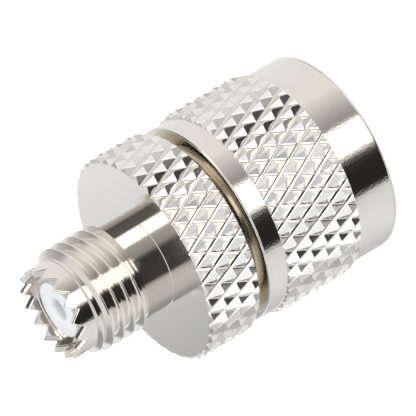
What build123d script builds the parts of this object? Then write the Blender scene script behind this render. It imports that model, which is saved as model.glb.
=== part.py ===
from build123d import *
import os
from math import cos, pi, radians, sin

# Coax adapter: a large screw plug on one end and a small threaded jack on the other.
# Millimetres. The plug's open rim stands on Z = 0 and the jack points up, along +Z.
# Every turned piece is half a section, drawn as radius and height, spun about Z.

# Coupling nut
nut_length = 13.42
nut_thread_radius = 7.365         # minor radius of the 5/8-24 internal thread
thread_relief = 0.685             # depth of the plain mouth and the run-out groove
nut_wall = 0.87                   # metal outside the mouth, to the smooth collars
front_collar_length = 3.94
rear_collar_length = 1.86
rim_rounding = 0.3
rear_chamfer_width = 0.38
rear_chamfer_height = 0.17
mouth_depth = 0.8
mouth_chamfer = 0.25
run_out_length = 1.4
land_length = 0.8                 # between the run-out groove and the ring's groove
land_relief = 0.4                 # how far the land stands outside the lip's bore
lip_length = 1.47                 # lip that runs on the body's sleeve
lip_chamfer = 0.2

# Knurling of the nut and the flange
knurl_starts = 40                 # grooves of each hand round the circle
knurl_row_height = 1.435          # half the axial pitch of the diamonds
knurl_depth = 0.5
knurl_backing = 0.5               # solid metal under the grooves
knurl_chamfer = 0.25              # axial length of the chamfer at each end of a band
nut_knurl_rise = 0.51             # of the points above the nut's collars
nut_first_row = 0.92              # from the band's top to its first row of points
nut_knurl_angle = 2.6
flange_first_row = 1.45
flange_knurl_angle = 0.0

# Retaining ring, and the play that it gives the nut
ring_thickness = 0.85
ring_width = 1.1
ring_bite = 0.7                   # how far the ring stands out into the nut's groove
ring_gap = 2.2                    # opening of the split
ring_squeeze_room = 0.05          # left under the ring when it is squeezed to enter the nut
nut_play = 1.0                    # travel of the nut along the body
running_clearance = 0.08          # radial
side_clearance = 0.05             # axial

# Body, plug end
barrel_radius = 5.95
barrel_length = 4.4               # from its end to the shoulder that the mating shell seats on
barrel_bore_radius = 4.8
barrel_bore_depth = 8.9
barrel_chamfer = 0.35
barrel_bore_chamfer = 0.25
shoulder_length = 1.0             # sleeve between the shoulder and the ring's groove
locating_tooth_height = 0.7
locating_tooth_width = 2.0
locating_tooth_count = 2
locating_tooth_root = 0.3         # how deep the teeth join the barrel
sleeve_radius = 6.97              # the nut's lip turns and slides on this

# Body, flange and jack end
flange_gap = 1.02                 # between the nut's back and the flange
flange_thickness = 5.1
flange_inset = 0.09               # the flange's points stand this far inside the nut's
flange_face_chamfer = 0.42        # radial, down from the knurl's points
flange_back_chamfer = 0.29
neck_radius = 4.18
neck_length = 2.6
jack_thread_radius = 4.7625       # major radius of the 3/8-24 external thread
jack_thread_length = 4.2
thread_back_chamfer = 0.35
thread_front_chamfer = 0.42
nose_radius = 4.03
nose_length = 2.03
jack_mouth_radius = 3.4
jack_mouth_depth = 1.25
jack_mouth_step = 0.08            # small chamfer round the bottom of the mouth
tooth_count = 16
tooth_depth = 1.0
tooth_land = 0.12                 # flat left on each tooth at the outer edge

# Insulators and contacts
insulator_clearance = 0.08
jack_insulator_radius = 2.5
jack_insulator_rise = 0.25        # stands out of its bore by this much
jack_insulator_chamfer = 0.15
jack_hole_radius = 0.9
jack_hole_chamfer = 0.12
plug_insulator_recess = 0.4
pin_radius = 1.98
pin_length = 4.6                  # from the plug insulator's face to its tip
pin_tip_radius = 0.9              # flat end of the pin's rounded tip
pin_tip_length = 1.2
pin_tip_steps = 3                 # cones that make up the rounded tip
pin_shoulder_radius = 2.2         # in the front wall of the plug insulator
pin_collar_radius = 2.6           # collar that the plug insulator holds the pin by
pin_collar_setback = 0.95         # below the plug insulator's face
contact_clearance = 0.03
contact_radius = 1.1
contact_bore_radius = 0.55
contact_bore_depth = 5.0
contact_lead_in = 0.15
contact_recess = 0.8              # below the jack insulator's face
contact_slot_width = 0.3
contact_slot_length = 3.6
contact_tail_radius = 0.85
contact_tail_length = 2.6

# Radii that follow from the sizes above
mouth_radius = nut_thread_radius + thread_relief
collar_radius = mouth_radius + nut_wall
rim_corner = rim_rounding * (1 - cos(pi / 4))
nut_knurl_radius = collar_radius + nut_knurl_rise
lip_radius = sleeve_radius + running_clearance
land_radius = lip_radius + land_relief
ring_outer_radius = lip_radius + ring_bite
ring_inner_radius = ring_outer_radius - ring_width
ring_groove_radius = ring_outer_radius + running_clearance
body_groove_radius = lip_radius - ring_width - ring_squeeze_room
flange_knurl_radius = nut_knurl_radius - flange_inset
flange_face_radius = flange_knurl_radius - flange_face_chamfer
flange_back_radius = flange_knurl_radius - flange_back_chamfer
flange_core_radius = flange_knurl_radius - knurl_depth - knurl_backing
jack_bore_radius = jack_insulator_radius + insulator_clearance
plug_insulator_radius = barrel_bore_radius - insulator_clearance
contact_hole_radius = contact_radius + contact_clearance
tail_hole_radius = contact_tail_radius + contact_clearance
shoulder_hole_radius = pin_shoulder_radius + contact_clearance
collar_hole_radius = pin_collar_radius + contact_clearance

# Heights that follow, from the nut's rim up to the jack's mouth
knurl_top = nut_length - rear_collar_length
ring_groove_top = nut_length - lip_length
ring_groove_bottom = ring_groove_top - ring_thickness - 2 * side_clearance
ring_bottom = ring_groove_bottom + side_clearance
run_out_top = ring_groove_bottom - land_length
nut_thread_top = run_out_top - run_out_length
body_groove_bottom = ring_groove_bottom - nut_play
shoulder_height = body_groove_bottom - shoulder_length
barrel_front_height = shoulder_height - barrel_length
barrel_bore_top = barrel_front_height + barrel_bore_depth
plug_insulator_bottom = barrel_front_height + plug_insulator_recess
pin_tip_height = plug_insulator_bottom - pin_length
pin_collar_bottom = plug_insulator_bottom + pin_collar_setback
pin_top_height = barrel_bore_top - side_clearance
flange_back_height = nut_length + flange_gap
flange_face_height = flange_back_height + flange_thickness
neck_top = flange_face_height + neck_length
thread_bottom = neck_top + thread_back_chamfer
thread_top = thread_bottom + jack_thread_length
nose_bottom = thread_top + thread_front_chamfer
tooth_tip_height = nose_bottom + nose_length
jack_seat_height = tooth_tip_height - jack_mouth_depth
jack_insulator_top = jack_seat_height + jack_insulator_rise
contact_top = jack_insulator_top - contact_recess


def knurl_blank(peak, angle, bottom_end, top_end):
    """Many-sided blank, a side to each column of the knurling, coned down at both ends.

    Each end is a radius and a height. The cones run on past the points' radius.
    """
    slopes = []
    for (radius, height), inward in ((bottom_end, 1), (top_end, -1)):
        past_peak = (2 * peak - radius, height + inward * 2 * knurl_chamfer)
        slopes += [(radius, height), past_peak][::inward]
    with BuildPart() as blank:
        for radius, height in slopes:
            with BuildSketch(Plane.XY.offset(height)):
                RegularPolygon(radius, 2 * knurl_starts, rotation=angle)
        loft(ruled=True)
    return blank.part


def knurled_band(peak, core, bottom, top, first_row, angle):
    """Ring of pyramids left between two crossing sets of helical V grooves.

    Points and groove crossings alternate like a chequerboard on rows of equal height,
    and each cell between two rows is folded along the groove that runs through it.
    """
    valley = peak - knurl_depth
    rows_below = int((first_row - bottom) / knurl_row_height) + 1
    rows_above = int((top - first_row) / knurl_row_height) + 1
    rows = range(-rows_below, rows_above)
    columns = range(2 * knurl_starts)

    def place(radius, row, column):
        turn = radians(angle + column * 180 / knurl_starts)
        height = first_row + row * knurl_row_height
        return Vector(radius * cos(turn), radius * sin(turn), height)

    def outside(row, column):
        return place(peak if (row + column) % 2 == 0 else valley, row, column)

    def inside(row, column):
        return place(core, row, column)

    walls = []
    for column in columns:
        for row in rows:
            here, right = outside(row, column), outside(row, column + 1)
            above, across = outside(row + 1, column), outside(row + 1, column + 1)
            if (row + column) % 2 == 0:
                walls += [(here, right, above), (across, above, right)]
            else:
                walls += [(right, across, here), (above, here, across)]
        low, high = rows.start, rows.stop
        walls.append((inside(low, column), inside(high, column),
                      inside(high, column + 1), inside(low, column + 1)))
    faces = [Face(Wire.make_polygon(corners)) for corners in walls]
    for row in (rows.start, rows.stop):
        rim = Wire.make_polygon([outside(row, column) for column in columns])
        bore = Wire.make_polygon([inside(row, column) for column in columns])
        faces.append(Face(rim, [bore]))
    return Solid(Shell(faces))


# Knurled band of the nut, chamfered down to the collars at both ends
with BuildPart() as nut_knurl:
    add(knurled_band(nut_knurl_radius, collar_radius - knurl_backing, front_collar_length,
                     knurl_top, knurl_top - nut_first_row, nut_knurl_angle))
    add(knurl_blank(nut_knurl_radius, nut_knurl_angle, (collar_radius, front_collar_length),
                    (collar_radius, knurl_top)), mode=Mode.INTERSECT)

# Coupling nut: plain mouth, thread, run-out groove, ring groove and rear lip
with BuildPart() as coupling_nut:
    with BuildSketch(Plane.XZ):
        with BuildLine():
            Polyline(
                (0, 0),
                (collar_radius - rim_rounding, 0),
                (collar_radius - rim_corner, rim_corner),
                (collar_radius, rim_rounding),
                (collar_radius, nut_length - rear_chamfer_height),
                (collar_radius - rear_chamfer_width, nut_length),
                (0, nut_length),
                (0, 0),
            )
        make_face()
    revolve(axis=Axis.Z)
    add(nut_knurl.part)
    with BuildSketch(Plane.XZ):
        with BuildLine():
            Polyline(
                (0, 0),
                (mouth_radius + mouth_chamfer, 0),
                (mouth_radius, mouth_chamfer),
                (mouth_radius, mouth_depth),
                (nut_thread_radius, mouth_depth),
                (nut_thread_radius, nut_thread_top),
                (mouth_radius, nut_thread_top),
                (mouth_radius, run_out_top),
                (land_radius, run_out_top),
                (land_radius, ring_groove_bottom),
                (ring_groove_radius, ring_groove_bottom),
                (ring_groove_radius, ring_groove_top),
                (lip_radius, ring_groove_top),
                (lip_radius, nut_length - lip_chamfer),
                (lip_radius + lip_chamfer, nut_length),
                (0, nut_length),
                close=True,
            )
        make_face()
    revolve(axis=Axis.Z, mode=Mode.SUBTRACT)
coupling_nut.part.label = "coupling_nut"

# Split ring: sits in the nut's narrow groove and slides in the body's wide one
with BuildPart() as retaining_ring:
    with BuildSketch(Plane.XY.offset(ring_bottom)):
        Circle(ring_outer_radius)
        Circle(ring_inner_radius, mode=Mode.SUBTRACT)
        with Locations((0, ring_outer_radius)):
            Rectangle(ring_gap, 2 * ring_outer_radius - ring_width, mode=Mode.SUBTRACT)
    extrude(amount=ring_thickness)
retaining_ring.part.label = "retaining_ring"

# Knurled rim of the body's flange
with BuildPart() as flange_knurl:
    add(knurled_band(flange_knurl_radius, flange_core_radius, flange_back_height,
                     flange_face_height, flange_face_height - flange_first_row,
                     flange_knurl_angle))
    add(knurl_blank(flange_knurl_radius, flange_knurl_angle,
                    (flange_back_radius, flange_back_height),
                    (flange_face_radius, flange_face_height)), mode=Mode.INTERSECT)

# One V groove, long enough to notch both sides of the jack's mouth
notch_half_width = pi * nose_radius / tooth_count - tooth_land / 2
with BuildPart() as mouth_notch:
    with BuildSketch(Plane.YZ.offset(-2 * nose_radius)):
        with BuildLine():
            Polyline(
                (0, tooth_tip_height - tooth_depth),
                (2 * notch_half_width, tooth_tip_height + tooth_depth),
                (-2 * notch_half_width, tooth_tip_height + tooth_depth),
                close=True,
            )
        make_face()
    extrude(amount=4 * nose_radius)

# Body: one turned piece from the plug's barrel to the jack's serrated mouth
with BuildPart() as adapter_body:
    with BuildSketch(Plane.XZ):
        with BuildLine():
            Polyline(
                (0, barrel_front_height),
                (barrel_radius - barrel_chamfer, barrel_front_height),
                (barrel_radius, barrel_front_height + barrel_chamfer),
                (barrel_radius, shoulder_height),
                (sleeve_radius, shoulder_height),
                (sleeve_radius, body_groove_bottom),
                (body_groove_radius, body_groove_bottom),
                (body_groove_radius, ring_groove_top),
                (sleeve_radius, ring_groove_top),
                (sleeve_radius, flange_back_height),
                (flange_core_radius + knurl_backing / 2, flange_back_height),
                (flange_core_radius + knurl_backing / 2, flange_face_height),
                (neck_radius, flange_face_height),
                (neck_radius, neck_top),
                (jack_thread_radius, thread_bottom),
                (jack_thread_radius, thread_top),
                (nose_radius, nose_bottom),
                (nose_radius, tooth_tip_height),
                (0, tooth_tip_height),
                close=True,
            )
        make_face()
    revolve(axis=Axis.Z)
    add(flange_knurl.part)
    with BuildSketch(Plane.XY.offset(shoulder_height - locating_tooth_height)):
        with PolarLocations(0, locating_tooth_count):
            Rectangle(sleeve_radius, locating_tooth_width, align=(Align.MIN, Align.CENTER))
        Circle(barrel_radius - locating_tooth_root, mode=Mode.SUBTRACT)
        Circle(sleeve_radius, mode=Mode.INTERSECT)
    extrude(amount=locating_tooth_height)
    with BuildSketch(Plane.XZ):
        with BuildLine():
            Polyline(
                (0, barrel_front_height),
                (barrel_bore_radius + barrel_bore_chamfer, barrel_front_height),
                (barrel_bore_radius, barrel_front_height + barrel_bore_chamfer),
                (barrel_bore_radius, barrel_bore_top),
                (jack_bore_radius, barrel_bore_top),
                (jack_bore_radius, jack_seat_height),
                (jack_mouth_radius - jack_mouth_step, jack_seat_height),
                (jack_mouth_radius, jack_seat_height + jack_mouth_step),
                (jack_mouth_radius, tooth_tip_height),
                (0, tooth_tip_height),
                close=True,
            )
        make_face()
    revolve(axis=Axis.Z, mode=Mode.SUBTRACT)
    with PolarLocations(0, tooth_count // 2, 180 / tooth_count, 180):
        add(mouth_notch.part, mode=Mode.SUBTRACT)
adapter_body.part.label = "adapter_body"

# Jack insulator: a stepped fluoropolymer rod, pressed in from the plug end
with BuildPart() as jack_insulator:
    with BuildSketch(Plane.XZ):
        with BuildLine():
            Polyline(
                (contact_hole_radius, barrel_bore_top),
                (jack_insulator_radius, barrel_bore_top),
                (jack_insulator_radius, jack_insulator_top - jack_insulator_chamfer),
                (jack_insulator_radius - jack_insulator_chamfer, jack_insulator_top),
                (jack_hole_radius + jack_hole_chamfer, jack_insulator_top),
                (jack_hole_radius, jack_insulator_top - jack_hole_chamfer),
                (jack_hole_radius, contact_top),
                (contact_hole_radius, contact_top),
                (contact_hole_radius, barrel_bore_top),
            )
        make_face()
    revolve(axis=Axis.Z)
jack_insulator.part.label = "jack_insulator"

# Jack contact: a slotted socket whose tail is pressed into the centre pin
with BuildPart() as jack_contact:
    with BuildSketch(Plane.XZ):
        with BuildLine():
            Polyline(
                (0, pin_top_height - contact_tail_length),
                (contact_tail_radius, pin_top_height - contact_tail_length),
                (contact_tail_radius, pin_top_height),
                (contact_radius, pin_top_height),
                (contact_radius, contact_top),
                (contact_bore_radius + contact_lead_in, contact_top),
                (contact_bore_radius, contact_top - contact_lead_in),
                (contact_bore_radius, contact_top - contact_bore_depth),
                (0, contact_top - contact_bore_depth),
                close=True,
            )
        make_face()
    revolve(axis=Axis.Z)
    with BuildSketch(Plane.XY.offset(contact_top)):
        Rectangle(3 * contact_radius, contact_slot_width)
    extrude(amount=-contact_slot_length, mode=Mode.SUBTRACT)
jack_contact.part.label = "jack_contact"

# Plug insulator: a bush that fills the barrel, with a pocket for the pin's collar at its back
with BuildPart() as plug_insulator:
    with BuildSketch(Plane.XZ):
        with BuildLine():
            Polyline(
                (shoulder_hole_radius, plug_insulator_bottom),
                (plug_insulator_radius, plug_insulator_bottom),
                (plug_insulator_radius, barrel_bore_top),
                (collar_hole_radius, barrel_bore_top),
                (collar_hole_radius, pin_collar_bottom),
                (shoulder_hole_radius, pin_collar_bottom),
                close=True,
            )
        make_face()
    revolve(axis=Axis.Z)
plug_insulator.part.label = "plug_insulator"

# Centre pin of the plug, rounded at its tip and drilled for the jack contact's tail
tip_angles = [step * pi / 2 / pin_tip_steps for step in range(pin_tip_steps + 1)]
pin_tip = [(pin_tip_radius + (pin_radius - pin_tip_radius) * sin(tip_angle),
            pin_tip_height + pin_tip_length * (1 - cos(tip_angle))) for tip_angle in tip_angles]
with BuildPart() as centre_pin:
    with BuildSketch(Plane.XZ):
        with BuildLine():
            Polyline(
                (0, pin_tip_height),
                *pin_tip,
                (pin_radius, plug_insulator_bottom),
                (pin_shoulder_radius, plug_insulator_bottom),
                (pin_shoulder_radius, pin_collar_bottom),
                (pin_collar_radius, pin_collar_bottom),
                (pin_collar_radius, pin_top_height),
                (tail_hole_radius, pin_top_height),
                (tail_hole_radius, pin_top_height - contact_tail_length),
                (0, pin_top_height - contact_tail_length),
                (0, pin_tip_height),
            )
        make_face()
    revolve(axis=Axis.Z)
centre_pin.part.label = "centre_pin"

os.makedirs("parts", exist_ok=True)
pieces = (adapter_body, coupling_nut, retaining_ring, jack_insulator, jack_contact,
          plug_insulator, centre_pin)
for piece in pieces:
    export_step(piece.part, f"parts/{piece.part.label}.step")
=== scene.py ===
from math import ceil, cos, hypot, pi, radians, sin, tau

import bmesh
import bpy
from mathutils import Matrix, Quaternion, Vector


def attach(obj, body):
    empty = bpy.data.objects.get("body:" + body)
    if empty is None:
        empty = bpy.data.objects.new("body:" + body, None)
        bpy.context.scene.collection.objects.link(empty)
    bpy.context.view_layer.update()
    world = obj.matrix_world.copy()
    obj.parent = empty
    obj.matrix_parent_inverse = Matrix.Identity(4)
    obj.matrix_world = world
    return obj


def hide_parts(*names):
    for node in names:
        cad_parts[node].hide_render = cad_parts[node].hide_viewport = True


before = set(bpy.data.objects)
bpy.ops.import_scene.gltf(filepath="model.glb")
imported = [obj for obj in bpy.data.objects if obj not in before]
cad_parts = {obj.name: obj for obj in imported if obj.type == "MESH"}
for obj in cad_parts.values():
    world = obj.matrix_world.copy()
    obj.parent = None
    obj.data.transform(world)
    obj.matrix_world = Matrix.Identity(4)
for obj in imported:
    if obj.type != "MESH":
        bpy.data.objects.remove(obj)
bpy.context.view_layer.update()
scene = bpy.context.scene
scene.view_settings.view_transform = "Standard"

# Camera: it stands 24 degrees above the adapter and leans far over to one side, so the jack
# points to the lower left. The long lens shows both ends at nearly the same scale.
camera_data = bpy.data.cameras.new("photo_camera")
camera_data.lens = 346.15
camera_data.sensor_width = 36
camera = bpy.data.objects.new("photo_camera", camera_data)
scene.collection.objects.link(camera)
camera_place = Vector((0, -0.30001, 0.14641))
camera_aim = Vector((0.00103, 0, 0.01213))
camera_lean = radians(-120.24)
camera_turn = (camera_aim - camera_place).to_track_quat("-Z", "Y")
camera_turn = camera_turn @ Quaternion((0, 0, 1), camera_lean)
camera.matrix_world = Matrix.LocRotScale(camera_place, camera_turn, (1, 1, 1))
scene.camera = camera

# Studio floor: a plain white sheet that the plug's rim stands on. It catches the adapter's
# shadow, and polished metal looks past it to the studio's walls.
floor_size = 1.2
floor_drop = 0.00001
floor_mesh = bpy.data.meshes.new("studio_floor")
sheet = bmesh.new()
bmesh.ops.create_grid(sheet, x_segments=1, y_segments=1, size=floor_size / 2)
bmesh.ops.translate(sheet, verts=sheet.verts, vec=(0, 0, -floor_drop))
sheet.to_mesh(floor_mesh)
sheet.free()
studio_floor = bpy.data.objects.new("studio_floor", floor_mesh)
scene.collection.objects.link(studio_floor)
studio_floor.visible_glossy = False

floor_paint = bpy.data.materials.new("white_floor")
floor_paint.use_nodes = True
tree = floor_paint.node_tree
paint = tree.nodes["Principled BSDF"]
paint.inputs["Base Color"].default_value = (0.82, 0.82, 0.82, 1)
paint.inputs["Roughness"].default_value = 0.9
paint.inputs["Emission Color"].default_value = (1, 1, 1, 1)
seen_by = tree.nodes.new("ShaderNodeLightPath")
glow = tree.nodes.new("ShaderNodeMath")
glow.operation = "MULTIPLY"
glow.inputs[1].default_value = 0.5
tree.links.new(seen_by.outputs["Is Camera Ray"], glow.inputs[0])
tree.links.new(glow.outputs[0], paint.inputs["Emission Strength"])
floor_mesh.materials.append(floor_paint)

# Studio walls: white card and black gaps all round, at eight heights, for the polished metal to
# mirror. Each height in degrees has its tints to the left and right of the adapter and lists
# bearings, from -180 to 180 degrees, with how bright the wall is there.
wall_gain = 2.5
walls = {
    -80: ((1.0, 1.02, 1.03), (1.0, 1.02, 1.03), [(-180, 0.9), (180, 0.9)]),
    -54: ((1.0, 1.01, 1.02), (1.0, 1.01, 1.02), [
        (-180, 0.55), (-118, 0.52), (-93, 0.86), (-80, 0.95), (-50, 0.96), (-17, 0.5), (-9, 0.4),
        (-4, 0.055), (27, 0.045), (48, 0.66), (77, 0.92), (104, 0.6), (128, 0.8), (157, 0.82),
        (180, 0.55)]),
    -38: ((1.0, 0.99, 0.97), (1.0, 1.0, 1.0), [
        (-180, 0.62), (-118, 0.58), (-90, 0.82), (-60, 0.8), (-45, 0.58), (-30, 0.45),
        (-18.4, 0.42), (-17.6, 1.6), (9, 1.6), (14, 0.3), (20, 0.04), (54, 0.035), (59, 0.6),
        (75, 0.78), (90, 0.75), (104, 0.62), (128, 0.72), (151, 0.74), (180, 0.62)]),
    -24: ((1.0, 0.99, 0.971), (1.0, 1.026, 1.056), [
        (-180, 0.92), (-60, 0.91), (-56, 0.82), (-24, 0.35), (-18.4, 0.33), (-17.6, 1.7),
        (11, 1.7), (15, 0.5), (20, 0.05), (30, 0.022), (58, 0.02), (60, 0.7), (72, 0.82),
        (96, 0.88), (114, 0.84), (144, 0.62), (160, 0.6), (176, 0.74), (180, 0.9)]),
    -7: ((1.0, 0.98, 0.95), (1.0, 1.01, 1.02), [
        (-180, 0.95), (-113, 0.76), (-60, 1.3), (-30, 1.4), (-20, 2.2), (30, 2.2), (45, 1.4),
        (88, 1.3), (108, 0.76), (137, 0.74), (160, 0.8), (180, 0.95)]),
    7: ((0.98, 1.02, 1.07), (0.98, 1.02, 1.07), [
        (-180, 0.92), (-150, 0.8), (-129, 0.8), (-117, 0.88), (-83, 0.88), (-58, 0.6),
        (-36, 0.92), (-2, 1.1), (7, 1.4), (30, 1.4), (37, 0.8), (46, 0.5), (55, 0.46),
        (70, 0.74), (102, 0.9), (126, 0.95), (136, 1.15), (160, 0.92), (180, 0.92)]),
    26: ((1.0, 0.988, 0.98), (1.0, 1.03, 1.07), [
        (-180, 0.76), (-178.2, 0.95), (-168, 0.9), (-150, 0.6), (-126, 0.36), (-117, 0.1),
        (-82, 0.13), (-76, 2.0), (-48, 2.0), (-43, 0.5), (-16, 0.34), (-8, 0.1), (-3, 0.045),
        (50, 0.055), (58, 0.58), (66, 0.66), (84, 0.7), (108, 0.64), (128, 0.45), (144, 0.36),
        (178.2, 0.48), (180, 0.76)]),
}
walls[-16] = walls[-24]
far_bearing = 160
far_tint = (0.965, 1.0, 1.06)
side_bearing = 50
ceiling_colour = (0.82, 0.83, 0.83)
ceiling_heights = (40, 55)
world = bpy.data.worlds.new("studio")
scene.world = world
world.use_nodes = True
tree = world.node_tree
tree.nodes.clear()
look = tree.nodes.new("ShaderNodeTexCoord")
split = tree.nodes.new("ShaderNodeSeparateXYZ")
tree.links.new(look.outputs["Generated"], split.inputs[0])
backwards = []
for axis in ("Y", "X"):
    flip = tree.nodes.new("ShaderNodeMath")
    flip.operation = "MULTIPLY"
    flip.inputs[1].default_value = -1
    tree.links.new(split.outputs[axis], flip.inputs[0])
    backwards.append(flip)
bearing_plane = tree.nodes.new("ShaderNodeCombineXYZ")
tree.links.new(backwards[0].outputs[0], bearing_plane.inputs["X"])
tree.links.new(backwards[1].outputs[0], bearing_plane.inputs["Y"])
bearing = tree.nodes.new("ShaderNodeTexGradient")
bearing.gradient_type = "RADIAL"
tree.links.new(bearing_plane.outputs[0], bearing.inputs["Vector"])
pitch_angle = tree.nodes.new("ShaderNodeMath")
pitch_angle.operation = "ARCSINE"
tree.links.new(split.outputs["Z"], pitch_angle.inputs[0])


def wall_ring(left_tint, right_tint, stops):
    """Colour of the walls all round at one height, from bearings and levels."""
    ring = tree.nodes.new("ShaderNodeValToRGB")
    ramp = ring.color_ramp
    while len(ramp.elements) < len(stops):
        ramp.elements.new(0.5)
    for stop, (turn, level) in zip(ramp.elements, stops):
        stop.position = turn / 360 + 0.5
    for stop, (turn, level) in zip(ramp.elements, stops):
        side_tint = left_tint if turn < side_bearing else right_tint
        shade = far_tint if abs(turn) > far_bearing else side_tint
        stop.color = [level * part / wall_gain for part in shade] + [1]
    tree.links.new(bearing.outputs["Fac"], ring.inputs["Fac"])
    return ring.outputs["Color"]


def blend_up(below, above, low, high):
    """Soft change from the colour below to the colour above between two heights in degrees."""
    rise = tree.nodes.new("ShaderNodeMapRange")
    rise.interpolation_type = "SMOOTHSTEP"
    rise.inputs["From Min"].default_value = radians(low)
    rise.inputs["From Max"].default_value = radians(high)
    tree.links.new(pitch_angle.outputs[0], rise.inputs["Value"])
    mix = tree.nodes.new("ShaderNodeMix")
    mix.data_type = "RGBA"
    tree.links.new(rise.outputs["Result"], mix.inputs["Factor"])
    tree.links.new(below, mix.inputs["A"])
    tree.links.new(above, mix.inputs["B"])
    return mix.outputs["Result"]


wall_heights = sorted(walls)
wall_colour = wall_ring(*walls[wall_heights[0]])
for lower, upper in zip(wall_heights, wall_heights[1:]):
    middle, spread = (lower + upper) / 2, (upper - lower) / 4
    wall_colour = blend_up(wall_colour, wall_ring(*walls[upper]), middle - spread,
                           middle + spread)
ceiling = tree.nodes.new("ShaderNodeRGB")
ceiling.outputs[0].default_value = [part / wall_gain for part in ceiling_colour] + [1]
wall_colour = blend_up(wall_colour, ceiling.outputs[0], *ceiling_heights)
wall_light = tree.nodes.new("ShaderNodeBackground")
wall_light.inputs["Strength"].default_value = wall_gain
tree.links.new(wall_colour, wall_light.inputs["Color"])
backdrop_light = tree.nodes.new("ShaderNodeBackground")
backdrop_light.inputs["Color"].default_value = (1, 1, 1, 1)
seen_by = tree.nodes.new("ShaderNodeLightPath")
choose = tree.nodes.new("ShaderNodeMixShader")
world_output = tree.nodes.new("ShaderNodeOutputWorld")
tree.links.new(seen_by.outputs["Is Camera Ray"], choose.inputs[0])
tree.links.new(wall_light.outputs[0], choose.inputs[1])
tree.links.new(backdrop_light.outputs[0], choose.inputs[2])
tree.links.new(choose.outputs[0], world_output.inputs["Surface"])

# Lamps: two large soft ones above the adapter, which give the floor its shadow. Polished metal
# doesn't mirror them. Each has its place and width in metres and its power in watts.
lamps = (("key_lamp", (-0.15, -0.2, 0.35), 0.3, 0.55),
         ("fill_lamp", (0.25, -0.1, 0.3), 0.35, 0.25))
for name, place, size, power in lamps:
    lamp_data = bpy.data.lights.new(name, "AREA")
    lamp_data.size = size
    lamp_data.energy = power
    lamp = bpy.data.objects.new(name, lamp_data)
    scene.collection.objects.link(lamp)
    lamp.visible_glossy = False
    aim = (-Vector(place)).to_track_quat("-Z", "Y")
    lamp.matrix_world = Matrix.LocRotScale(Vector(place), aim, (1, 1, 1))

# Body: one bar of brass turned from the plug's barrel to the jack's serrated mouth, with the
# flange's rim knurled and the jack's thread cut, then nickel plated all over. Lengths are in
# millimetres, as radius and height, until the finished mesh is brought to metres.
metre = 0.001
weld_gap = 0.0002
shading_ring = 0.04
polished_finish, knurled_finish, gap_painted_shade_finish, faced_finish, speckled_finish = range(5)
sharp_turn = radians(28)
turned_steps = 320

barrel_front = 4.6
barrel_radius = 5.95
barrel_edge = 0.35
bore_radius = 4.8
bore_edge = 0.25
bore_end = 13.5
shoulder = 9.0
sleeve_radius = 6.97
groove_bottom = 10.0
groove_top = 11.95
groove_radius = 5.9
flange_back = 14.44
flange_back_edge = (8.86, 0.3)
flange_face = 19.54
flange_face_edge = (8.92, 0.25)
flange_peak = 9.34
neck_radius = 4.18
neck_foot = 0.04
neck_step = 21.5
neck_swell = ((0.035, 0.03), (0.032, 0.08))
neck_top = 22.14
nose_radius = 4.03
nose_bottom = 27.11
mouth_radius = 3.4
mouth_edge = 0.125
mouth_foot = 0.08
seat_height = 27.89
seat_radius = 2.58

tooth_tip = 29.14
tooth_count = 16
tooth_depth = 1.0
tooth_rounding = 0.28
tooth_peak = 1.14
tooth_band = 0.15
notch_half_width = 0.731
locating_tooth = (1.2, 2, 0.75)
locating_tooth_place = (6.28, 8.675)
locating_tooth_edge = 0.08

# Knurling: each groove is given as reach from its middle and rise above its bottom
knurl_starts = 40
knurl_row = 1.435
flange_first_row = flange_face - 1.45
groove_spacing = 1.316
main_groove = ((0.035, 0), (0.12, 0.03), (0.2, 0.066))
cross_groove = (0.09, 0.033)
point_width = 0.012
point_rise = 0.37
point_drop = 0.04
ridge_angle = radians(25)
ridge_rounding = 0.02
seam_place = 1.4

# Jack's thread: the ridge is given as height from the crest's middle and radius
thread_pitch = 1.0583
spare_turns = 2
jack_crest_radius = 4.7625
jack_ridge = ((-0.42, 4.13), (-0.07, 4.735), (-0.045, jack_crest_radius),
              (0.045, jack_crest_radius), (0.07, 4.735), (0.42, 4.13))
jack_crest_start = 22.57
jack_thread_start = 22.4
jack_thread_end = 26.74


def unit_grid(columns, rows):
    """Flat grid of unit cells, one corner at the origin."""
    grid = bmesh.new()
    bmesh.ops.create_grid(grid, x_segments=columns, y_segments=rows, size=1)
    bmesh.ops.translate(grid, verts=grid.verts, vec=(1, 1, 0))
    bmesh.ops.scale(grid, verts=grid.verts, vec=(columns / 2, rows / 2, 1))
    return grid


def slice_strip(strip, point, outward, clear=False):
    """Cut a strip along a plane, and clear away what stands outside it."""
    everything = strip.verts[:] + strip.edges[:] + strip.faces[:]
    bmesh.ops.bisect_plane(strip, geom=everything, dist=1e-6, plane_co=point,
                           plane_no=outward, clear_outer=clear)


def bring_to_line(strip, start, end, keep):
    """Turn a strip down to the line from start to end, each given as radius and height."""
    rise = (end[0] - start[0]) / (end[1] - start[1])
    slice_strip(strip, (0, start[1], start[0]), (0, -rise, 1))
    for point in strip.verts:
        point.co.z = keep(point.co.z, start[0] + rise * (point.co.y - start[1]))


def roll_up(strip, width):
    """Wrap a strip round the axis: x goes round, y becomes height and z becomes radius."""
    for point in strip.verts:
        turn = tau * point.co.x / width
        height, radius = point.co.y, point.co.z
        point.co = (radius * cos(turn), radius * sin(turn), height)
    bmesh.ops.remove_doubles(strip, verts=strip.verts, dist=weld_gap)


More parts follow.
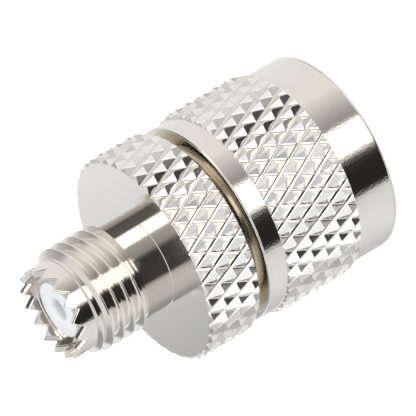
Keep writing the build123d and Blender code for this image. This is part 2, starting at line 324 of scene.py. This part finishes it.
def knurled_strip(peak, bottom, top, first_row, angle):
    """Strip of points between two crossing sets of grooves, as the knurling wheels leave.

    The main grooves run on unbroken and are the deeper ones. The cross grooves end at them.
    Each point starts as a cell of six columns and three rows of faces. Its plateau lies between
    the groove's outermost steps and is drawn up to the point.
    """
    column_width = pi * peak / knurl_starts
    spare = ceil((top - bottom) / knurl_row)
    across = [(-main_groove[0][0], 0), *main_groove,
              *((groove_spacing - reach, rise) for reach, rise in main_groove[:0:-1])]
    cell_columns, cell_rows = len(across), 3
    plateau = len(main_groove)
    strip = unit_grid(cell_columns * (knurl_starts + 2 * spare),
                      cell_rows * (knurl_starts + 2 * spare))
    points = [face for face in strip.faces
              if int(face.calc_center_median().x) % cell_columns == plateau
              and int(face.calc_center_median().y) % cell_rows == cell_rows - 1]
    for point in strip.verts:
        column, step = divmod(round(point.co.x), cell_columns)
        row, along = divmod(round(point.co.y), cell_rows)
        reach, rise = across[step]
        if step in (plateau, plateau + 1) and along != 1:
            rise += cross_groove[1]
        point.co = (groove_spacing * column + reach,
                    groove_spacing * row + (along - 1) * cross_groove[0], rise)
    bmesh.ops.inset_individual(
        strip, faces=points, thickness=groove_spacing / 2 - main_groove[2][0] - point_width,
        depth=point_rise, use_even_offset=True)
    floor = peak - point_drop - point_rise - main_groove[2][1] - cross_groove[1]
    for point in strip.verts:
        column = point.co.x / groove_spacing - spare
        row = point.co.y / groove_spacing - knurl_starts - spare
        point.co = ((column - row) * column_width, first_row + (column + row - 1) * knurl_row,
                    floor + point.co.z)
    strip.normal_update()
    ridges = [edge for edge in strip.edges
              if not edge.is_boundary and edge.calc_face_angle_signed(0) > ridge_angle]
    bmesh.ops.bevel(strip, geom=ridges, offset=ridge_rounding, offset_type="OFFSET", segments=1,
                    profile=0.5, affect="EDGES", material=-1, clamp_overlap=True)
    around = tau * peak
    seam = seam_place * column_width
    slice_strip(strip, (seam, 0, 0), (-1, 0, 0), clear=True)
    slice_strip(strip, (seam + around, 0, 0), (1, 0, 0), clear=True)
    slice_strip(strip, (0, bottom, 0), (0, -1, 0), clear=True)
    slice_strip(strip, (0, top, 0), (0, 1, 0), clear=True)
    bmesh.ops.translate(strip, verts=strip.verts, vec=(around * angle / 360, 0, 0))
    for facet in strip.faces:
        facet.smooth = False
        facet.material_index = knurled_finish
    return strip


def threaded_strip(ridge, crest_start, bottom, top):
    """Strip with a right-hand helical ridge, given as heights and radii across the ridge."""
    first_turn = int((bottom - crest_start) / thread_pitch) - spare_turns
    turns = ceil((top - bottom) / thread_pitch) + 2 * spare_turns
    strip = unit_grid(turned_steps, len(ridge) * turns - 1)
    for point in strip.verts:
        column = round(point.co.x)
        turn, part = divmod(round(point.co.y), len(ridge))
        rise = thread_pitch * (first_turn + turn + column / turned_steps)
        point.co = (column, crest_start + rise + ridge[part][0], ridge[part][1])
    slice_strip(strip, (0, bottom, 0), (0, -1, 0), clear=True)
    slice_strip(strip, (0, top, 0), (0, 1, 0), clear=True)
    for face in strip.faces:
        face.smooth = True
    return strip


def join(shells):
    """One mesh in the making from several."""
    joined = bmesh.new()
    for shell in shells:
        carrier = bpy.data.meshes.new("carrier")
        shell.to_mesh(carrier)
        shell.free()
        joined.from_mesh(carrier)
        bpy.data.meshes.remove(carrier)
    return joined


def rim(shell, height):
    """The open edges that lie at one height."""
    return [edge for edge in shell.edges if edge.is_boundary
            and all(abs(point.co.z - height) < weld_gap for point in edge.verts)]


def rounded(radius, height, size, start, end, steps):
    """Points of a round stretch of an outline, about a centre, between two angles in degrees."""
    turns = [radians(start + (end - start) * step / steps) for step in range(steps + 1)]
    return [(radius + size * cos(turn), height + size * sin(turn)) for turn in turns]


def turn_on(shell, edges, outline, finish=polished_finish):
    """Carry an open rim on along a turned outline of radii and heights."""
    for radius, height in outline:
        made = bmesh.ops.extrude_edge_only(shell, edges=edges)["geom"]
        for point in [part for part in made if isinstance(part, bmesh.types.BMVert)]:
            scale = radius / hypot(point.co.x, point.co.y)
            point.co = (point.co.x * scale, point.co.y * scale, height)
        edges = [part for part in made
                 if isinstance(part, bmesh.types.BMEdge) and part.is_boundary]
        for face in [part for part in made if isinstance(part, bmesh.types.BMFace)]:
            face.smooth = True
            face.material_index = finish
    return edges


def close_flat(shell, height, finish=polished_finish):
    """Fill the flat ring between the two open rims at one height."""
    made = bmesh.ops.triangle_fill(shell, edges=rim(shell, height), use_beauty=True,
                                   normal=(0, 0, 1))["geom"]
    for face in [part for part in made if isinstance(part, bmesh.types.BMFace)]:
        face.smooth = True
        face.material_index = finish


def finish_piece(shell, name, node, body, materials):
    """Bring a shell to metres and put it in the place of its node."""
    bmesh.ops.remove_doubles(shell, verts=shell.verts, dist=weld_gap)
    bmesh.ops.recalc_face_normals(shell, faces=shell.faces)
    for edge in shell.edges:
        edge.smooth = edge.calc_face_angle(0) < sharp_turn
    bmesh.ops.scale(shell, verts=shell.verts, vec=(metre, metre, metre))
    mesh = bpy.data.meshes.new(name)
    shell.to_mesh(mesh)
    shell.free()
    for material in materials:
        mesh.materials.append(material)
    piece = bpy.data.objects.new(name, mesh)
    scene.collection.objects.link(piece)
    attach(piece, body)
    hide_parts(node)
    return piece


def new_material(name, **settings):
    """New material with its Principled sockets set, and that shader."""
    material = bpy.data.materials.new(name)
    material.use_nodes = True
    shader = material.node_tree.nodes["Principled BSDF"]
    for socket, value in settings.items():
        shader.inputs[socket.replace("_", " ")].default_value = value
    return material, shader


def add_node(tree, kind, links=None, **settings):
    """A node with its properties set and its inputs linked or given a value."""
    node = tree.nodes.new(kind)
    for key, value in settings.items():
        setattr(node, key, value)
    for socket, value in (links or {}).items():
        if isinstance(value, bpy.types.NodeSocket):
            tree.links.new(value, node.inputs[socket])
        else:
            node.inputs[socket].default_value = value
    return node


# The finish that turning leaves, shared by all the turned pieces: fine rings round the axis
# and a faint unevenness, given out as a height in metres and a mask for smudged patches.
turned_finish = bpy.data.node_groups.new("turned_finish", "ShaderNodeTree")
for name, default in (("Ring Height", 4e-7), ("Ring Density", 14000.0),
                      ("Speckle Height", 1.2e-6), ("Speckle Density", 3500.0)):
    socket = turned_finish.interface.new_socket(name, in_out="INPUT",
                                                socket_type="NodeSocketFloat")
    socket.default_value = default
for name in ("Height", "Smudge"):
    turned_finish.interface.new_socket(name, in_out="OUTPUT", socket_type="NodeSocketFloat")
given = add_node(turned_finish, "NodeGroupInput").outputs
place = add_node(turned_finish, "ShaderNodeTexCoord").outputs["Object"]
parts = add_node(turned_finish, "ShaderNodeSeparateXYZ", {0: place}).outputs
flat = add_node(turned_finish, "ShaderNodeCombineXYZ", {0: parts["X"], 1: parts["Y"]})
reach = add_node(turned_finish, "ShaderNodeVectorMath", {0: flat.outputs[0]}, operation="LENGTH")
section = add_node(turned_finish, "ShaderNodeCombineXYZ",
                   {0: reach.outputs["Value"], 1: parts["Z"]})
rings = add_node(turned_finish, "ShaderNodeTexNoise",
                 {"Vector": section.outputs[0], "Scale": given["Ring Density"], "Detail": 2.0},
                 noise_dimensions="2D")
speckle = add_node(turned_finish, "ShaderNodeTexNoise",
                   {"Vector": place, "Scale": given["Speckle Density"], "Detail": 3.0})
ring_height = add_node(turned_finish, "ShaderNodeMath",
                       {0: rings.outputs["Fac"], 1: given["Ring Height"]}, operation="MULTIPLY")
total_height = add_node(turned_finish, "ShaderNodeMath",
                        {0: speckle.outputs["Fac"], 1: given["Speckle Height"],
                         2: ring_height.outputs[0]}, operation="MULTIPLY_ADD")
smudge = add_node(turned_finish, "ShaderNodeTexNoise",
                  {"Vector": place, "Scale": 420.0, "Detail": 4.0})
smudge_mask = add_node(turned_finish, "ShaderNodeMapRange",
                       {"Value": smudge.outputs["Fac"], "From Min": 0.42, "From Max": 0.72})
result = add_node(turned_finish, "NodeGroupOutput")
turned_finish.links.new(total_height.outputs[0], result.inputs["Height"])
turned_finish.links.new(smudge_mask.outputs["Result"], result.inputs["Smudge"])


def metal_material(name, clean, smudged, roughness, smudged_roughness, **finish):
    """Metal whose colour and roughness change a little where the surface is smudged."""
    material, shader = new_material(name, Metallic=1.0)
    tree = material.node_tree
    turned = add_node(tree, "ShaderNodeGroup", node_tree=turned_finish)
    for socket, value in finish.items():
        turned.inputs[socket.replace("_", " ")].default_value = value
    colour = add_node(tree, "ShaderNodeMix",
                      {"Factor": turned.outputs["Smudge"], "A": (*clean, 1), "B": (*smudged, 1)},
                      data_type="RGBA")
    rough = add_node(tree, "ShaderNodeMapRange",
                     {"Value": turned.outputs["Smudge"], "To Min": roughness,
                      "To Max": smudged_roughness})
    bump = add_node(tree, "ShaderNodeBump", {"Height": turned.outputs["Height"],
                                             "Distance": 1.0})
    tree.links.new(colour.outputs["Result"], shader.inputs["Base Color"])
    tree.links.new(rough.outputs["Result"], shader.inputs["Roughness"])
    tree.links.new(bump.outputs["Normal"], shader.inputs["Normal"])
    return material


nickel_colour = (0.84, 0.80, 0.74)
smudged_nickel = (0.82, 0.778, 0.715)
nickel = metal_material("nickel_plate", nickel_colour, smudged_nickel, 0.07, 0.11,
                        Speckle_Height=4e-6, Speckle_Density=5000)
pressed_nickel = metal_material("nickel_knurled", (0.865, 0.835, 0.79), (0.83, 0.80, 0.75),
                                0.11, 0.17, Ring_Height=0.0, Speckle_Height=6e-6,
                                Speckle_Density=4500)
# Nickel inside the gap between flange and nut: rougher, and darker and warmer in colour, which
# is painted shade of that recess.
gap_painted_shade_nickel = metal_material("nickel_in_the_gap_painted_shade", (0.83, 0.78, 0.70), (0.78, 0.72, 0.62),
                               0.14, 0.24, Speckle_Height=3e-6)
faced_nickel = metal_material("nickel_faced", nickel_colour, (0.835, 0.794, 0.733), 0.08, 0.1,
                              Speckle_Height=8e-7, Ring_Height=1e-7)
speckled_nickel = metal_material("nickel_speckled", nickel_colour, smudged_nickel, 0.07, 0.11,
                                 Speckle_Height=7.5e-6, Speckle_Density=6500)
nickel_finishes = (nickel, pressed_nickel, gap_painted_shade_nickel, faced_nickel, speckled_nickel)

flange_knurl = knurled_strip(flange_peak, flange_back, flange_face, flange_first_row, 0)
edge_radius, edge_width = flange_face_edge
bring_to_line(flange_knurl, (edge_radius, flange_face), (flange_peak, flange_face - edge_width),
              min)
edge_radius, edge_width = flange_back_edge
bring_to_line(flange_knurl, (edge_radius, flange_back), (flange_peak, flange_back + edge_width),
              min)
roll_up(flange_knurl, tau * flange_peak)

jack_thread = threaded_strip(jack_ridge, jack_crest_start - thread_pitch / 4, neck_top,
                             nose_bottom)
bring_to_line(jack_thread, (nose_radius, nose_bottom), (jack_crest_radius, jack_thread_end), min)
bring_to_line(jack_thread, (neck_radius, neck_top), (jack_crest_radius, jack_thread_start), min)
roll_up(jack_thread, turned_steps)

adapter = join([flange_knurl, jack_thread])
turn_on(adapter, rim(adapter, neck_top), [
    *((neck_radius + rise, neck_top - drop) for rise, drop in neck_swell),
    (neck_radius, neck_step), (neck_radius, flange_face + neck_foot),
    (neck_radius + neck_foot, flange_face)])
nose = turn_on(adapter, rim(adapter, nose_bottom), [
    (nose_radius, tooth_tip - tooth_band),
    *rounded(nose_radius - mouth_edge, tooth_tip - mouth_edge, mouth_edge, 0, 90, 3)],
    finish=speckled_finish)
sleeve = turn_on(adapter, nose, [
    *rounded(mouth_radius + mouth_edge, tooth_tip - mouth_edge, mouth_edge, 90, 180, 3),
    (mouth_radius, tooth_tip - tooth_band), (mouth_radius, seat_height + mouth_foot),
    (mouth_radius - mouth_foot, seat_height), (seat_radius, seat_height),
    (seat_radius, bore_end), (bore_radius, bore_end), (bore_radius, barrel_front + bore_edge),
    (bore_radius + bore_edge, barrel_front), (barrel_radius - barrel_edge, barrel_front),
    (barrel_radius, barrel_front + barrel_edge), (barrel_radius, shoulder),
    (sleeve_radius, shoulder), (sleeve_radius, groove_bottom)])
# The groove and the flange's back lie in the gap and take the nickel with painted shade.
turn_on(adapter, sleeve, [
    (groove_radius, groove_bottom), (groove_radius, groove_top), (sleeve_radius, groove_top),
    (sleeve_radius, flange_back)], finish=gap_painted_shade_finish)
close_flat(adapter, flange_face, finish=faced_finish)
close_flat(adapter, flange_back, finish=gap_painted_shade_finish)

# Serrations of the mouth: V notches with straight sides, each as wide inside as outside
tooth_angle = tau / tooth_count
for point in adapter.verts:
    if point.co.z > tooth_tip - tooth_band - weld_gap:
        turn = point.co.xy.angle_signed(Vector((1, 0)))
        from_notch = abs((turn % tooth_angle) - tooth_angle / 2)
        rise = point.co.xy.length * sin(from_notch) / notch_half_width
        meet = hypot(rise - tooth_peak, tooth_rounding)
        point.co.z -= tooth_depth * (1 - (rise + tooth_peak - meet) / 2)

# Locating teeth: two blocks on the barrel's shoulder that fit the notches of a mating jack
for side in (-1, 1):
    block = bmesh.ops.create_cube(adapter, size=1)["verts"]
    bmesh.ops.scale(adapter, verts=block, vec=locating_tooth)
    reach, height = locating_tooth_place
    bmesh.ops.translate(adapter, verts=block, vec=(reach * side, 0, height))
    block_edges = list({edge for corner in block for edge in corner.link_edges})
    bmesh.ops.bevel(adapter, geom=block_edges, offset=locating_tooth_edge, offset_type="OFFSET",
                    segments=2, profile=0.5, affect="EDGES", material=-1)

finish_piece(adapter, "adapter_body_turned", "adapter_body", "adapter",
             nickel_finishes)

# Coupling nut: turned from brass tube, with a band of diamond knurling between two smooth
# collars and a 5/8-24 thread inside, nickel plated like the body. The ring holds it on.
nut_peak = 9.43
nut_collar = 8.92
nut_front_edge = 0.3
nut_knurl_bottom = 3.94
nut_knurl_top = 11.56
nut_knurl_edge = 0.25
nut_first_row = nut_knurl_top - 0.92
nut_knurl_turn = 2.6
nut_back = 13.42
nut_back_edge = ((0, 0.13), (0.02, 0.09), (0.1, 0.02), (0.14, 0))
nut_minor = 7.365
nut_major = 7.94
nut_ridge = ((-0.13, nut_minor), (0.13, nut_minor), (0.46, nut_major), (0.6, nut_major))
nut_crest_start = 1.0
nut_thread_bottom = 0.8
nut_thread_top = 8.8
nut_entry = 7.98
nut_lead_in = 0.5
nut_run_out = 0.35
nut_relief_radius = 8.05
nut_relief_edge = 0.25
nut_relief_top = 10.2
land_radius = 7.45
ring_slot_radius = 7.83
ring_slot_bottom = 11.0
lip_radius = 7.05
lip_edge = 0.2

nut_knurl = knurled_strip(nut_peak, nut_knurl_bottom, nut_knurl_top, nut_first_row,
                          nut_knurl_turn)
bring_to_line(nut_knurl, (nut_collar, nut_knurl_bottom),
              (nut_peak, nut_knurl_bottom + nut_knurl_edge), min)
bring_to_line(nut_knurl, (nut_collar, nut_knurl_top), (nut_peak, nut_knurl_top - nut_knurl_edge),
              min)
roll_up(nut_knurl, tau * nut_peak)

nut_thread = threaded_strip(nut_ridge, nut_crest_start, nut_thread_bottom, nut_thread_top)
bring_to_line(nut_thread, (nut_entry, nut_thread_bottom),
              (nut_minor, nut_thread_bottom + nut_lead_in), max)
bring_to_line(nut_thread, (nut_entry, nut_thread_top), (nut_minor, nut_thread_top - nut_run_out),
              max)
roll_up(nut_thread, turned_steps)

nut = join([nut_knurl, nut_thread])
front_edge = turn_on(nut, rim(nut, nut_knurl_bottom), [
    (nut_collar, nut_front_edge + shading_ring)], finish=speckled_finish)
turn_on(nut, front_edge, [
    *rounded(nut_collar - nut_front_edge, nut_front_edge, nut_front_edge, 0, -90, 4),
    (nut_relief_radius + nut_relief_edge, 0), (nut_relief_radius, nut_relief_edge),
    (nut_relief_radius, nut_thread_bottom)])
back_edge = turn_on(nut, rim(nut, nut_knurl_top), [
    (nut_collar, nut_back - nut_back_edge[0][1] - shading_ring)], finish=speckled_finish)
lip = turn_on(nut, back_edge,
              [(nut_collar - reach, nut_back - drop) for reach, drop in nut_back_edge])
# The nut's back, lip and slot lie in the gap and take the nickel with painted shade.
turn_on(nut, lip, [
    (lip_radius + lip_edge, nut_back), (lip_radius, nut_back - lip_edge),
    (lip_radius, groove_top), (ring_slot_radius, groove_top),
    (ring_slot_radius, ring_slot_bottom), (land_radius, ring_slot_bottom),
    (land_radius, nut_relief_top), (nut_relief_radius, nut_relief_top),
    (nut_relief_radius, nut_thread_top)], finish=gap_painted_shade_finish)
close_flat(nut, nut_thread_bottom)
close_flat(nut, nut_thread_top)
finish_piece(nut, "coupling_nut_turned", "coupling_nut", "nut",
             nickel_finishes)

# Retaining ring: a split ring of spring bronze. It is squeezed into the body's groove to put the
# nut on, and then springs out into the nut's slot, so that the nut turns but stays on.
bronze = metal_material("spring_bronze", (0.72, 0.52, 0.32), (0.55, 0.38, 0.22), 0.24, 0.38,
                        Speckle_Height=3e-6)
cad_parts["retaining_ring"].data.materials.clear()
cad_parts["retaining_ring"].data.materials.append(bronze)

# Insulators: bushes of white fluoropolymer, turned and pressed into both ends of the body. The
# jack's one shows in its mouth, where the edge of its hole is rounded.
fluoropolymer, shader = new_material("fluoropolymer", IOR=1.35, Subsurface_Weight=0.15,
                                     Subsurface_Scale=0.0004)
tree = fluoropolymer.node_tree
turned = add_node(tree, "ShaderNodeGroup", node_tree=turned_finish)
turned.inputs["Ring Height"].default_value = 1.5e-6
turned.inputs["Ring Density"].default_value = 9000
shade = add_node(tree, "ShaderNodeMix",
                 {"Factor": turned.outputs["Smudge"], "A": (0.87, 0.885, 0.9, 1),
                  "B": (0.82, 0.84, 0.86, 1)}, data_type="RGBA")
gloss = add_node(tree, "ShaderNodeMapRange",
                 {"Value": turned.outputs["Smudge"], "To Min": 0.32, "To Max": 0.45})
bump = add_node(tree, "ShaderNodeBump", {"Height": turned.outputs["Height"], "Distance": 1.0})
tree.links.new(shade.outputs["Result"], shader.inputs["Base Color"])
tree.links.new(gloss.outputs["Result"], shader.inputs["Roughness"])
tree.links.new(bump.outputs["Normal"], shader.inputs["Normal"])
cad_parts["plug_insulator"].data.materials.clear()
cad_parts["plug_insulator"].data.materials.append(fluoropolymer)

bush_steps = 160
bush_top = 28.14
bush_radius = 2.5
bush_edge = 0.16
hole_radius = 0.9
hole_edge = 0.43
contact_top = 27.34
contact_hole_radius = 1.13
bush = bmesh.new()
bmesh.ops.create_circle(bush, segments=bush_steps, radius=contact_hole_radius)
bmesh.ops.translate(bush, verts=bush.verts, vec=(0, 0, bore_end))
turn_on(bush, bush.edges[:], [
    (bush_radius, bore_end),
    *rounded(bush_radius - bush_edge, bush_top - bush_edge, bush_edge, 0, 90, 3),
    *rounded(hole_radius + hole_edge, bush_top - hole_edge, hole_edge, 90, 180, 4),
    (hole_radius, contact_top), (contact_hole_radius, contact_top),
    (contact_hole_radius, bore_end)])
finish_piece(bush, "jack_insulator_turned", "jack_insulator", "adapter",
             [fluoropolymer])

# Contacts: the plug's solid pin and the jack's slotted socket, of plated brass, pressed
# together in the middle of the body.
contact_plate = metal_material("contact_plate", (0.84, 0.82, 0.78), (0.78, 0.75, 0.7), 0.1, 0.18)
for node in ("jack_contact", "centre_pin"):
    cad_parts[node].data.materials.clear()
    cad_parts[node].data.materials.append(contact_plate)
